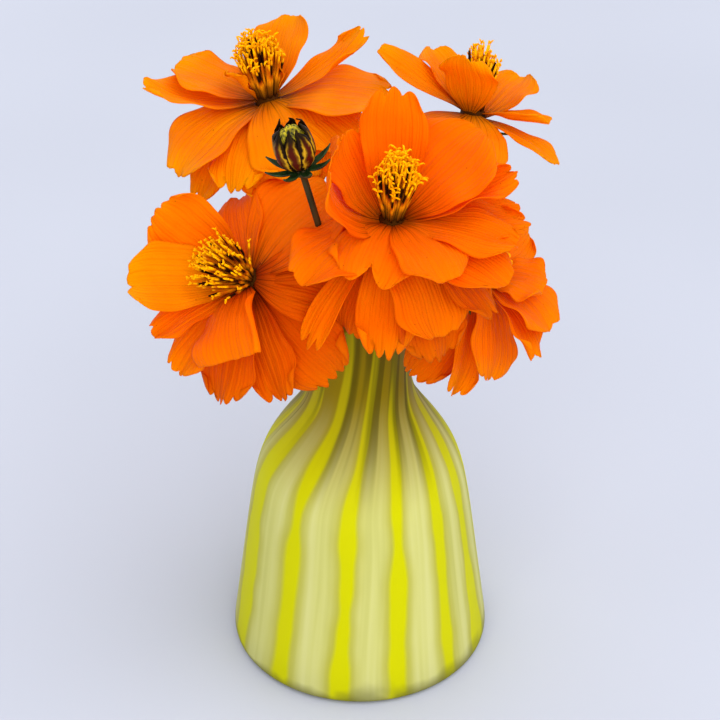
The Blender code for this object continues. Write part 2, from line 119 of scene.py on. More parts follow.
# Each flower: its centre and axis, the angle at which its stem passes the neck, the
# size of its disc, how far the florets spread and how tall they stand against a
# common disc, how spiky they are (0 to 1), and the tone of its petals.  Then its
# petals as (name, depth of the seat on the cup, azimuth, rise at the claw, rise at
# the tip, length, width, curl, look).  The look holds what sets one petal apart:
# tip, pleat and ruffle as above, outline, round (its own TIP_ROUND), tone, roll about
# its length, sway to one side, and edge = (side, where it starts, degrees) for a
# margin that rolls over.  Petals in "spare" have no solid of their own in the frame.
# The darkest petal tone is painted shade: a darker copy of the petal colour on petals that lie
# under the others.
FLOWERS = {"a": {
    "centre": (-24.1, 27.0, 155.3), "axis": (-0.16, 0.10, 0.98), "neck": 120.0,
    "spread": 1.22, "tall": 1.1, "tone": "amber",
    "petals": (
        ("back", 0.4, 66, 54, 24, 23, 16, 20, {"tip": (2, 0.02), "ruffle": 0.9}),
        ("back_right", 0.4, 14, 8, 42, 29, 13, 30, {"tip": (3, 0.09)}),
        ("right", 2.0, 350, 15, -28, 30, 28, 10, {}),
        ("front_right", 0.4, 291, 4, -64, 29, 25, -10, {}),
        ("front", 2.0, 249, 0, -52, 29, 17, -10, {"tip": (4, 0.07)}),
        ("front_left", 2.0, 213, 8, -48, 30, 23, 10, {"tip": (3, 0.05)}),
        ("left_low", 3.4, 222, -12, -52, 30, 13, 10, {"tip": (3, 0.09)}),
        ("left", 0.4, 184, -2, 46, 31, 16, 20, {"tip": (3, 0.07)}),
        ("back_left", 0.4, 158, 26, 18, 24, 20, 10, {"tip": (3, 0.04)}),
    ),
    "spare": (
        ("right_front", 2.8, 322, 6, -46, 29, 22, 0, {}),
        ("under", 3.4, 278, -6, -62, 31, 24, 0, {}),
        ("inner_left", 0.2, 200, 62, 50, 12, 7, 40, {"tip": (2, 0.05), "pleat": 0.1}),
        ("inner_right", 0.2, 40, 70, 78, 13, 8, 40, {"tip": (2, 0.05), "pleat": 0.1}),
    ),
}, "b": {
    "centre": (-28.3, -20.0, 130.2), "axis": (-0.58, -0.46, 0.67), "neck": 205.0,
    "spread": 1.6, "tall": 1.05, "spiky": 1.0, "tone": "tangerine",
    "petals": (
        ("left", 0.4, 181, 50, 25, 28, 19, 20, {"tip": (3, 0.05), "tone": "amber"}),
        ("up_left", 0.4, 134, 42, 28, 27, 20, 15, {"tip": (5, 0.05), "tone": "orange"}),
        ("up", 2.0, 106, 12, -34, 26, 18, 10, {}),
        ("up_right", 3.6, 58, -4, -44, 26, 18, 10, {"tone": "deep"}),
        ("right_back", 2.0, 46, 4, -34, 29, 31, 10, {"tip": (2, 0.05)}),
        ("right", 0.4, 350, -10, -80, 24, 21, 10, {"tone": "deep"}),
        ("low_right", 3.4, 299, -14, -60, 31, 22, 0, {"tone": "deep", "tip": (5, 0.11)}),
        ("low_mid", 2.6, 274, -14, -36, 29, 14, 10, {"tone": "deep", "tip": (4, 0.10)}),
        ("low", 2.0, 248, -2, -18, 29, 19, 10, {"tone": "deep", "tip": (5, 0.10)}),
        ("low_left", 0.6, 227, 10, 0, 27, 15, 10, {"tone": "orange"}),
        ("left_low", -0.4, 209, 29, 12, 25, 12, 10, {"tip": (3, 0.06)}),
        ("front", -0.4, 271, 50, -28, 22.5, 25, -10,
         {"tip": (1, 0.0), "edge": (1, 0.6, 165), "outline": "square", "round": 0.02}),
    ),
    "spare": (
        ("between", 3.0, 158, 34, 20, 24, 12, 10, {"tip": (3, 0.05)}),
        ("right_mid", 1.6, 18, -4, -60, 24, 18, 0, {"tone": "deep"}),
    ),
}, "c": {
    "centre": (8.0, -15.0, 144.8), "axis": (0.10, -0.08, 0.99), "neck": 290.0, "spread": 1.12,
    "tall": 1.17, "tone": "tangerine",
    "petals": (
        ("back", 0.4, 96, 62, 48, 31, 17, 20, {"tip": (3, 0.09), "outline": "broad"}),
        ("back_left", 1.2, 190, 4, 112, 29, 30, 10,
         {"sway": -14, "tip": (4, 0.04), "outline": "broad"}),
        ("back_right", 0.0, 33, 46, 34, 29, 28, 10, {"tip": (3, 0.03)}),
        ("right_up", 0.9, 13, 23, 26, 31, 15, 20,
         {"tip": (4, 0.08), "ruffle": 1.8, "edge": (1, 0.5, 110)}),
        ("right", 2.2, 1, 10, -2, 32, 17, 10, {"tip": (4, 0.06)}),
        ("right_front", 0.4, 342, 17, -8, 30, 17, 0, {"tip": (3, 0.02)}),
        ("right_low", 2.4, 330, 3, -14, 31, 20, 0, {"tip": (3, 0.03)}),
        ("front_right", 0.4, 301, 24, -26, 25, 19, -10, {"tip": (2, 0.02)}),
        ("front", 0.6, 254, 20, -44, 22, 23, -10,
         {"tip": (2, 0.24), "ruffle": 1.8, "outline": "broad"}),
        ("left", 1.8, 219, 5, -34, 28, 21, 10, {"ruffle": 2.2, "tip": (3, 0.05)}),
        ("under_left", 3.8, 233, -13, -62, 36, 8.5, 30,
         {"tip": (3, 0.12), "pleat": 0.6, "outline": "strap", "ruffle": 0.4}),
        ("under_front", 3.8, 271, -26, -70, 32, 16, 0, {"tip": (4, 0.13)}),
        ("under_right", 3.8, 306, -16, -62, 29, 23, 0, {"tip": (3, 0.03)}),
    ),
    "spare": (
        ("back_mid", 2.6, 138, 40, 62, 24, 22, 10, {}),
        ("right_under", 4.4, 337, -16, -46, 32, 14, 0, {"tone": "deep", "tip": (4, 0.08)}),
        ("under_near", 4.6, 248, -30, -74, 27, 20, 0, {"tone": "deep"}),
        ("under_mid", 5.8, 290, -40, -80, 27, 18, 0, {"tone": "deep"}),
        ("under_far", 4.6, 306, -28, -70, 34, 20, 0, {"tone": "deep", "tip": (5, 0.06)}),
        ("behind_right", 3.4, 12, 6, 4, 31, 14, 20, {}),
    ),
}, "d": {
    "centre": (29.2, 22.0, 154.0), "axis": (0.14, 0.35, 0.925), "neck": 50.0, "disc": 0.85,
    "spread": 1.1, "tall": 1.32, "spiky": 1.0, "tone": "amber",
    "petals": (
        ("left", 0.4, 176, 30, 26, 27, 11, 10, {"tip": (2, 0.03), "roll": -28, "ruffle": 0.4}),
        ("back", 0.4, 130, 48, 24, 21, 16, 20, {"tip": (2, 0.02)}),
        ("front", 0.4, 246, 68, 50, 18, 16, 5, {"tip": (3, 0.04)}),
        ("right_back", 2.0, 42, 46, 38, 17, 22, 10, {"tip": (2, 0.02)}),
        ("right", 0.4, 333, 6, 4, 19, 9, 40, {"tip": (2, 0.03), "ruffle": 0.4}),
        ("right_low", 2.0, 328, -6, -26, 25, 10, 10, {"tip": (2, 0.04), "ruffle": 0.4}),
    ),
    "spare": (
        ("low_front", 1.0, 268, -14, -60, 22, 20, 0, {}),
        ("low_left", 1.4, 208, -4, -44, 24, 18, 0, {}),
    ),
}, "e": {
    "centre": (31.4, 0.0, 119.1), "axis": (0.72, -0.22, 0.66), "neck": 345.0, "disc": 0.6,
    "spread": 0.7, "tall": 0.8, "tone": "orange",
    "petals": (
        ("right_top", -0.6, 336, 70, 24, 15, 19, 10, {"tip": (2, 0.03)}),
        ("right", 0.6, 322, 48, 0, 22, 21, 10, {"tip": (3, 0.05)}),
        ("right_low", 0.8, 305, 24, -4, 25, 12, 20, {"tip": (2, 0.06)}),
        ("low_right", 2.0, 296, 4, -40, 26, 18, 0, {"tip": (5, 0.06)}),
        ("low", 3.2, 286, -16, -50, 30, 12, 10, {"tip": (4, 0.08)}),
        ("low_left", 4.2, 260, -18, -62, 30, 18, 0, {"tone": "deep", "tip": (5, 0.07)}),
    ),
    "spare": (
        ("back", 1.6, 60, 30, 0, 22, 17, 10, {}),
        ("back_left", 0.8, 100, 34, 0, 22, 17, 10, {}),
        ("left", 2.4, 140, 20, -20, 22, 17, 10, {}),
        ("left_front", 1.2, 185, 20, -20, 22, 17, 10, {}),
    ),
}}

# --- Discs ---
GOLDEN_ANGLE = math.radians(137.508)
# The collar's near-black colour is painted shade under the flower.
COLLAR = ((-3.8, 3.2), (-3.4, 3.32), (-1.0, 3.34), (0.15, 3.3), (0.8, 2.6), (1.6, 1.9),
          (2.0, 1.2))    # (height, radius) of the dark collar and the receptacle
FLORET_FOOT = (2.5, 0.6)                # distance from the axis, height
# (distance from the axis, height at the rim, more at the middle)
FLORET_MOUTH, FLORET_TOP = (3.7, 6.8, 1.8), (5.0, 11.4, 3.8)
CLOSED_SHARE, DARK_SHARE = 0.12, 0.38   # florets without stigmas, with a dark tube
FLORET_RADII = (0.30, 0.32, 0.34, 0.38, 0.50, 0.30, 0.34, 0.34, 0.22)
STIGMA_RADII = (0.18, 0.26, 0.34, 0.34, 0.28, 0.10)
COLLAR_SIDES, FLORET_SIDES, STIGMA_SIDES = 20, 6, 5
# The u of each kind of tube's UV map, by which the floret material tells them apart
COLLAR_U, DARK_U, BRIGHT_U, STIGMA_U = 0.1, 0.2, 0.4, 0.8

# --- Bracts ---
BRACT_COUNT = 8          # behind each flower, and under the bud
BRACT_OUTLINE = ((0.0, 0.75), (0.3, 1.0), (0.6, 0.8), (0.85, 0.4), (1.0, 0.04))
BRACT_ROWS, BRACT_COLUMNS = 10, 6
BRACT_WALL, BUD_BRACT_WALL, SCALE_WALL = 0.35 * MM, 0.4 * MM, 0.3 * MM

# --- Bud ---
BUD_BASE = (-14.4, -18.0, 161.4)
BUD_AXIS = (-0.24, -0.06, 0.97)
BUD_NECK = 258.0
BUD_CUP_R, BUD_CUP_DEPTH = 1.9, 2.0
BUD_PROFILE = ((0.3, 1.6), (1.6, 3.6), (4.2, 5.0), (7.5, 5.1), (10.5, 4.7), (13.6, 3.9))
CORE_LOW, CORE_TOP, CORE_RINGS, CORE_SIDES = 0.3, 10.6, 16, 24
CORE_TUBES, CORE_TUBE_RADII = 26, (0.5, 0.62, 0.72, 0.76, 0.70, 0.55, 0.3)
SCALE_COUNT, SCALE_ROWS, SCALE_COLUMNS = 8, 18, 8
SCALE_LOW, SCALE_LENGTH = 0.4, 12.6
# half-width of a scale in radians, from its foot to its tip
SCALE_OUTLINE = ((0.0, 0.62), (0.3, 0.62), (0.6, 0.50), (0.8, 0.34), (0.92, 0.16), (1.0, 0.03))

# --- Stage, in metres ---
FLOOR_HALF = 3.0
# (name, kind, place, size in degrees or metres, energy), each aimed at the flowers
LIGHTS = (("key", "SUN", (0.45, -0.25, 0.95), 75, 1.95),
          ("back", "SUN", (-0.35, 0.75, 0.75), 70, 0.8),
          ("fill", "AREA", (-0.15, -0.95, 0.45), 0.90, 5.5))
AIM = Vector((0, 0, 0.11))
AIR_COLOUR, AIR_STRENGTH = "#E6E9F2", 0.90
CAMERA_PLACE, CAMERA_DOWN = (0.0, -0.5512, 0.4843), 35.5
CAMERA_LENS, CAMERA_SENSOR = 127.5, 36.0


# ========== settings ==========
def count_property(name, description, default, low):
    return bpy.props.IntProperty(name=name, description=description, default=default, min=low)


class CosmosBottleSizes(bpy.types.PropertyGroup):
    """Sizes a user would change."""

    glass_steps: count_property("Glass steps", "Steps round the bottle", 120, 24)
    petal_thickness: bpy.props.FloatProperty(
        name="Petal thickness", description="Thickness of a petal's blade",
        default=0.24 * MM, unit="LENGTH")
    petal_rows: count_property("Petal rows", "Faces along a petal", 44, 8)
    petal_columns: count_property("Petal columns", "Faces across a petal", 32, 8)
    floret_count: count_property("Florets", "Florets in each disc", 96, 12)
    stem_sides: count_property("Stem sides", "Faces round a stem", 16, 6)


def colour_property(name, description, hex_colour):
    return bpy.props.FloatVectorProperty(
        name=name, description=description, default=linear(hex_colour),
        subtype="COLOR", size=3, min=0.0, max=1.0)


class CosmosBottleColours(bpy.types.PropertyGroup):
    """Colours a user would change."""

    petal_amber: colour_property("Amber petal", "Petals of the two back flowers", "#FF9400")
    petal_orange: colour_property("Orange petal", "Petals of the right flower", "#FF8200")
    petal_tangerine: colour_property("Tangerine petal", "Petals of the front flowers", "#FF7800")
    # painted shade: the darkest tone is a darker copy of the petal colour for the undermost
    # petals, which lie in shade
    petal_deep: colour_property("Deep petal", "Undermost petals of the front flowers",
                                "#EE6400")
    cane: colour_property("Cane", "The coloured canes in the glass", "#E8E600")
    glass: colour_property("Glass", "The satin glass between the canes", "#E6E48E")
    stem: colour_property("Stem", "Stems and cups", "#4A5A1C")
    floor: colour_property("Floor", "The pale floor", "#B7BAC4")


# ========== modelling ==========
def frame_of(axis):
    """Axis, right and depth unit vectors of a flower."""
    up = Vector(axis).normalized()
    right = (Vector((1, 0, 0)) - up * up.x).normalized()
    return up, right, up.cross(right)


def around(right, depth, angle):
    """The direction at an angle round a flower's axis."""
    return right * math.cos(angle) + depth * math.sin(angle)


def mix(table, x):
    """Smooth value of an (x, y) table: a curve through its points."""
    x = min(max(x, table[0][0]), table[-1][0])
    for i, ((x0, y0), (x1, y1)) in enumerate(zip(table, table[1:])):
        if x <= x1:
            before = table[max(i - 1, 0)]
            after = table[min(i + 2, len(table) - 1)]
            span = x1 - x0
            slope0 = (y1 - before[1]) / max(x1 - before[0], 1e-9) * span
            slope1 = (after[1] - y0) / max(after[0] - x0, 1e-9) * span
            t = (x - x0) / span
            return ((2 * t ** 3 - 3 * t ** 2 + 1) * y0 + (t ** 3 - 2 * t ** 2 + t) * slope0
                    + (3 * t ** 2 - 2 * t ** 3) * y1 + (t ** 3 - t ** 2) * slope1)
    return table[-1][1]


def ease(low, high, x):
    """0 below low, 1 above high and smooth between."""
    t = min(max((x - low) / (high - low), 0.0), 1.0)
    return t * t * (3 - 2 * t)


def finish_piece(name, bm, material, slot, *nodes, wall=0.0, offset=0.0):
    """A finished bmesh as a piece of the object, in place of its CAD nodes.

    An open sheet gets a wall: half to each side of it, or inwards at an offset of -1.
    """
    for face in bm.faces:
        face.smooth = True
    mesh = bpy.data.meshes.new(name)
    bm.to_mesh(mesh)
    bm.free()
    mesh.materials.append(material)
    obj = bpy.data.objects.new(name, mesh)
    bpy.context.scene.collection.objects.link(obj)
    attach(obj, "root")
    if nodes:
        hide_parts(*nodes)
    if wall:
        solid = obj.modifiers.new("wall", "SOLIDIFY")
        solid.thickness = wall
        solid.offset = offset


def lathe(bm, profile, steps, merge):
    """Turns a profile that starts and ends on the Z axis into a closed skin."""
    verts = [bm.verts.new(point) for point in profile]
    edges = [bm.edges.new(pair) for pair in zip(verts, verts[1:])]
    bmesh.ops.spin(bm, geom=verts + edges, axis=(0, 0, 1), cent=(0, 0, 0),
                   steps=steps, angle=math.tau, use_merge=True)
    bmesh.ops.remove_doubles(bm, verts=bm.verts, dist=merge)
    bmesh.ops.recalc_face_normals(bm, faces=bm.faces)


def tube_template(rings, sides):
    """A lathed tube of unit radius, closed at both poles, its rings at z = 0, 1, 2..."""
    bm = bmesh.new()
    lathe(bm, [Vector((0.0 if i in (0, rings - 1) else 1.0, 0, i)) for i in range(rings)],
          sides, 1e-5)
    mesh = bpy.data.meshes.new("tube_template")
    bm.to_mesh(mesh)
    bm.free()
    return mesh


TEMPLATES = {}


def sweep(bm, path, radii, sides, shade=(0.0, 0.0, 1.0)):
    """Lays a closed tube along a path.  Its ends close at the first and last points.

    The UV map gets shade: the tube's own u, and v from its foot to its tip.
    """
    points = [path[0]] + list(path) + [path[-1]]
    sizes = [0.0] + list(radii) + [0.0]
    key = (len(points), sides)
    if key not in TEMPLATES:
        TEMPLATES[key] = tube_template(*key)
    uv = bm.loops.layers.uv.verify()
    first_vert, first_face = len(bm.verts), len(bm.faces)
    bm.from_mesh(TEMPLATES[key])
    bm.verts.ensure_lookup_table()
    bm.faces.ensure_lookup_table()
    u, v0, v1 = shade
    for face in bm.faces[first_face:]:
        for loop in face.loops:
            share = min(max((loop.vert.co.z - 1) / (len(path) - 1), 0.0), 1.0)
            loop[uv].uv = (u, v0 + (v1 - v0) * share)
    frames = []
    steep = abs((path[1] - path[0]).normalized().x) < 0.9
    side = Vector((1, 0, 0)) if steep else Vector((0, 1, 0))
    for i, point in enumerate(points):
        ahead = path[min(max(i, 1), len(path) - 1)]
        behind = path[min(max(i - 2, 0), len(path) - 2)]
        tangent = (ahead - behind).normalized()
        side = (side - tangent * side.dot(tangent)).normalized()
        frames.append((point, side, tangent.cross(side)))
    for vert in bm.verts[first_vert:]:
        i = round(vert.co.z)
        point, side, other = frames[i]
        vert.co = (point + (side * vert.co.x + other * vert.co.y) * sizes[i]) * MM


def grid(bm, columns, rows):
    """Adds a flat grid from -1 to 1 each way with its UV map, and gives its vertices."""
    first_vert, first_face = len(bm.verts), len(bm.faces)
    uv = bm.loops.layers.uv.verify()
    bmesh.ops.create_grid(bm, x_segments=columns, y_segments=rows, size=1.0)
    bm.verts.ensure_lookup_table()
    bm.faces.ensure_lookup_table()
    for face in bm.faces[first_face:]:
        for loop in face.loops:
            loop[uv].uv = ((loop.vert.co.x + 1) / 2, (loop.vert.co.y + 1) / 2)
    return bm.verts[first_vert:]


def spine(flower, petal, steps):
    """Centre line of a petal: (point, along, across, normal) at each step."""
    _, seat, azimuth, rise0, rise1, length, _, _, look = petal
    up, right, depth = frame_of(flower["axis"])
    out = around(right, depth, math.radians(azimuth))
    side = up.cross(out)
    point = Vector(flower["centre"]) + out * CLAW_R + up * (0.5 - seat * 0.8)
    line = []
    for i in range(steps + 1):
        t = i / steps
        pitch = math.radians(rise0 + (rise1 - rise0) * t)
        heading = math.radians(look.get("sway", 0) * t)
        turn = math.radians(look.get("roll", 0) * min(1.0, 2 * t))
        along = (out * math.cos(heading) + side * math.sin(heading)) * math.cos(pitch)
        along += up * math.sin(pitch)
        across = side * math.cos(heading) - out * math.sin(heading)
        normal = along.cross(across)
        line.append((point.copy(), along, across * math.cos(turn) + normal * math.sin(turn),
                     normal * math.cos(turn) - across * math.sin(turn)))
        point += along * length / steps
    return line


def section(half, curl, edge, columns):
    """Offsets (across, up) over a petal's width, its margins turned up by the curl."""
    middle = columns // 2
    step = half / middle
    offsets = [None] * (columns + 1)
    offsets[middle] = (0.0, 0.0)
    for side in (-1, 1):
        x = z = 0.0
        for k in range(1, middle + 1):
            s = (k - 0.5) / middle
            angle = math.radians(curl) * s
            if edge and edge[0] == side and s > edge[1]:
                angle += math.radians(edge[2]) * (s - edge[1]) / (1 - edge[1])
            x += step * math.cos(angle)
            z += step * math.sin(angle)
            offsets[middle + side * k] = (side * x, z)
    return offsets


def petal_blade(bm, flower, petal, rows, columns, rng):
    """Turns a flat grid into one petal: claw, blade, pleats, ruffled margin and teeth."""
    *_, length, width, curl, look = petal
    teeth, tooth = look.get("tip", TIP)
    pleat, ruffle = look.get("pleat", PLEAT), look.get("ruffle", RUFFLE)
    phase = [rng.uniform(0, math.tau) for _ in range(4)]
    teeth_size = [rng.uniform(0.5, 1.3) for _ in range(teeth + 1)]
    drift = Vector([rng.uniform(0, 50) for _ in range(3)])

    def uneven(x, y, z):
        return noise.noise(Vector((x, y, z)) + drift)

    stations = spine(flower, petal, rows)
    sections = []
    for i in range(rows + 1):
        t = i / rows
        half = width / 2 * mix(OUTLINES[look.get("outline", "blade")], t)
        edge = look.get("edge")
        if edge:
            edge = (edge[0], edge[1], edge[2] * ease(0.12, 0.45, t))
        sections.append(section(half, curl * ease(-0.3, 0.4, t), edge, columns))
    for vert in grid(bm, columns, rows):
        # s runs across from -1 to 1, t from the claw to the tip
        s, t = vert.co.x, (vert.co.y + 1) / 2
        i, j = round(t * rows), round((s + 1) / 2 * columns)
        point, along, across, normal = stations[i]
        x, z = sections[i][j]
        margin = abs(s) ** 3
        blade = ease(0.08, 0.45, t)
        x *= 1 + 0.09 * uneven(2.0 if s > 0 else 8.0, t * 3.5, 5) * ease(0.1, 0.4, t)
        wave = math.cos(FOLDS * math.tau * s / 2 + phase[0] + 1.5 * uneven(s * 2, t * 1.5, 9))
        z += pleat * blade * (1 - abs(wave) ** 0.7) * (1 - 0.5 * margin)
        side = 1 if s > 0 else 2
        z += ruffle * margin * ease(0.25, 0.6, t) * math.sin(math.tau * 1.6 * t + phase[side])
        z += ruffle * 0.7 * ease(0.6, 1.0, t) * math.sin(math.tau * 0.8 * s + phase[3])
        z += SAG * blade * uneven(s * 1.1, t * 2.2, 0)
        # the tip falls back at its corners and between its teeth
        place = (s + 1) / 2 * teeth
        which = min(int(place), teeth)
        gap = 1 - abs(math.sin(math.pi * place)) ** 0.7 if teeth > 1 else 0.0
        gap *= teeth_size[which] if place - int(place) < 0.5 else teeth_size[min(which + 1, teeth)]
        back = look.get("round", TIP_ROUND) * (0.45 * s * s + 0.55 * s ** 4) * t ** 3
        back += tooth * gap * ease(0.74, 1.0, t)
        back += 0.012 * ease(0.8, 1.0, t) * uneven(s * 5, 3.7, 1.3)
        vert.co = (point + across * x + normal * z - along * length * back) * MM


# ========== materials ==========
SMOOTH = {"interpolation_type": "SMOOTHSTEP"}     # for a MapRange node


def rgba(colour):
    """A hex colour or a linear one, with its alpha."""
    return (*(linear(colour) if isinstance(colour, str) else colour), 1.0)


def add_node(tree, kind, inputs=(), stops=None, points=None, **settings):
    """Adds one node with its settings, its ramp or curve, and its inputs.

    The inputs stand in the order of the sockets, or in a dictionary by socket.  Each
    is a value, a socket, or a node whose first live output is linked.
    """
    made = tree.nodes.new("ShaderNode" + kind)
    if kind == "Mix":
        made.data_type = "RGBA"
    for key, value in settings.items():
        setattr(made, key, value)
    if stops:
        ramp = made.color_ramp
        while len(ramp.elements) < len(stops):
            ramp.elements.new(0.5)
        for element, (position, colour) in zip(ramp.elements, stops):
            element.position = position
            element.color = rgba(colour)
    if points:
        curve = made.mapping.curves[0]
        while len(curve.points) < len(points):
            curve.points.new(0.5, 0.5)
        for point, place in zip(curve.points, points):
            point.location = place
            point.handle_type = "VECTOR"
        made.mapping.update()
    for key, value in inputs.items() if isinstance(inputs, dict) else enumerate(inputs):
        socket = made.inputs[key]
        if isinstance(value, bpy.types.Node):
            value = next(output for output in value.outputs if output.enabled)
        if isinstance(value, bpy.types.NodeSocket):
            tree.links.new(value, socket)
        else:
            socket.default_value = rgba(value) if socket.type == "RGBA" else value
    return made


def new_material(name):
    """An empty material, what adds a node to it, and its object coordinates."""
    mat = bpy.data.materials.new(name)
    mat.use_nodes = True
    mat.node_tree.nodes.clear()
    add = partial(add_node, mat.node_tree)
    return mat, add, add("TexCoord").outputs["Object"]


def finish_material(add, colour, roughness, specular, tint=(1.0, 1.0, 1.0), bump=None,
                    glow=0.0, glow_bump=False):
    """The skin of a material, and the share of light that glows through it.

    The bump is (height, strength, depth in metres), and glow_bump gives it to the glow.
    """
    skin = {"Base Color": colour, "Roughness": roughness, "Specular IOR Level": specular,
            "Specular Tint": tint}
    through = {"Color": colour}
    if bump:
        skin["Normal"] = add("Bump", dict(zip(("Height", "Strength", "Distance"), bump)))
    if glow_bump:
        through["Normal"] = skin["Normal"]
    shader = add("BsdfPrincipled", skin)
    if glow:
        shader = add("MixShader", (glow, shader, add("BsdfTranslucent", through)))
    add("OutputMaterial", (shader,))


def scaled(colour, red, green, blue):
    """A linear colour with each channel made stronger or weaker."""
    return (colour[0] * red, colour[1] * green, colour[2] * blue)


def petal_material(name, base):
    """Fresh ray petal: thin, faintly pleated and matt, and it glows where light passes
    through it.  Fine veins fan from a maroon claw to a yellower toothed tip; the claw's
    dark is partly the petal's own and partly painted shade by the disc."""
    mat, add, solid = new_material(name)
    uv = add("UVMap")
    v = add("SeparateXYZ", (uv,)).outputs[1]
    # about 7 main veins, 3 mm apart at the widest, and 21 fine ones 1 mm apart
    stretched = add("Mapping", {0: uv, 3: (1.0, 0.16, 1.0)})
    veins, fine = [
        add("TexWave", {0: stretched, "Scale": scale, "Distortion": distortion, "Detail": 3.0,
                        "Detail Scale": detail}, bands_direction="X").outputs["Fac"]
        for scale, distortion, detail in ((2.3, 3.2, 1.6), (6.5, 5.0, 2.0))]
    # the ramp's dark foot at the claw is partly the petal's own maroon and partly painted shade by
    # the disc
    length = add("ValToRGB", (v,), stops=(
        (0.0, scaled(base, 0.34, 0.14, 1.0)), (0.08, scaled(base, 0.62, 0.30, 1.0)),
        (0.2, scaled(base, 0.95, 0.72, 1.0)), (0.5, scaled(base, 1.0, 0.95, 1.0)),
        (0.75, base), (1.0, scaled(base, 1.0, 1.38, 1.0))))
    depth = add("Math", (veins, fine), operation="MULTIPLY")
    fade = add("MapRange", (v, 0.1, 0.7, 0.52, 0.16))
    dark = add("Math", (depth, fade), operation="MULTIPLY")
    veined = add("Mix", {0: dark, 6: length, 7: scaled(base, 0.72, 0.42, 1.0)})
    # soft patches about 12 mm wide
    patch = add("TexNoise", {"Vector": solid, "Scale": 85.0, "Detail": 2.0})
    patch = add("MapRange", (patch, 0.38, 0.68, 0.0, 0.5))
    varied = add("Mix", {0: patch, 6: veined, 7: scaled(base, 1.0, 1.32, 1.0)})
    # maroon streaks run up the claw between the veins, partly the petal's own marks and partly
    # painted shade by the disc
    claw = add("MapRange", (v, 0.05, 0.44, 1.0, 0.0))
    streak = add("Math", (claw, depth), operation="MULTIPLY")
    streak = add("Math", (streak, claw), operation="MULTIPLY")
    claw_marked_and_shaded = add("Mix", {0: streak, 6: varied, 7: "#5A1000"})
    # a few dark specks of pollen and dust, 0.3 mm across and about 4 mm apart
    speck = add("TexVoronoi", {"Vector": solid, "Scale": 260.0})
    speck = add("MapRange", (speck, 0.03, 0.06, 0.45, 0.0))
    colour = add("Mix", {0: speck, 6: claw_marked_and_shaded, 7: "#7A2400"})
    # the veins stand up from a grain of about 0.5 mm
    grain = add("TexNoise", {"Vector": solid, "Scale": 1900.0, "Detail": 1.0})
    ridge = add("Math", (fine, veins), operation="ADD")
    rough = add("Math", (grain, ridge), operation="ADD")
    finish_material(add, colour, 0.55, 0.2, (1.0, 0.42, 0.03), (rough, 0.5, 0.00022), glow=0.45,
                    glow_bump=True)
    return mat


